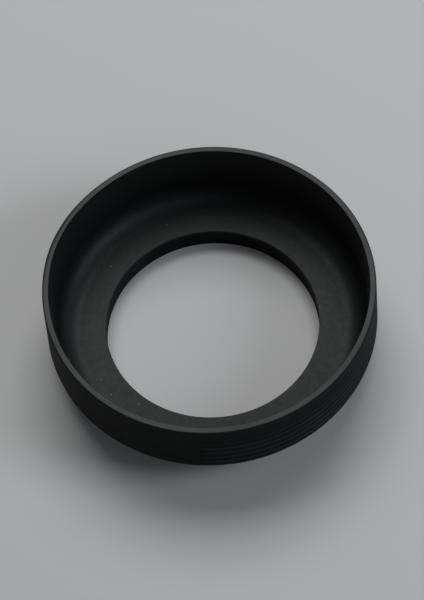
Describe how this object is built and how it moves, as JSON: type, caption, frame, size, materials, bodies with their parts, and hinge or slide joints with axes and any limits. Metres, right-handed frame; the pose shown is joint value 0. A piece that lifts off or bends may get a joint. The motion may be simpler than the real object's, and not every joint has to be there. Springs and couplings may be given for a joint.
{
  "type": "lens hood",
  "caption": "Short round screw-in rubber lens hood: a shallow black cup with ridged grip panels, held on a threaded metal ring with an open centre for the light.",
  "frame": {"origin": "centre of the filter thread's end face, where the hood stands on a table; it is the bottom centre of the bounding box", "axes": "+Z along the optical axis from the thread towards the open front rim; the two grip panels face -Y and +Y"},
  "size_m": [0.0754, 0.0758, 0.0227],
  "materials": {
    "hood_rubber": "matte moulded rubber with a faint bloom and a little dust",
    "ring_black": "matte black anodised, turned, with a cut filter thread",
    "retainer_black": "satin black anodised, turned face"
  },
  "bodies": {
    "mount": {"mount_ring": "ring_black", "retaining_ring": "retainer_black"},
    "cup": {"hood_cup": "hood_rubber"}
  },
  "joints": [
    {"name": "cup_turn", "type": "hinge", "parent": "mount", "child": "cup", "pos_m": [0, 0, 0.0047], "axis": [0, 0, 1], "continuous": true}
  ]
}
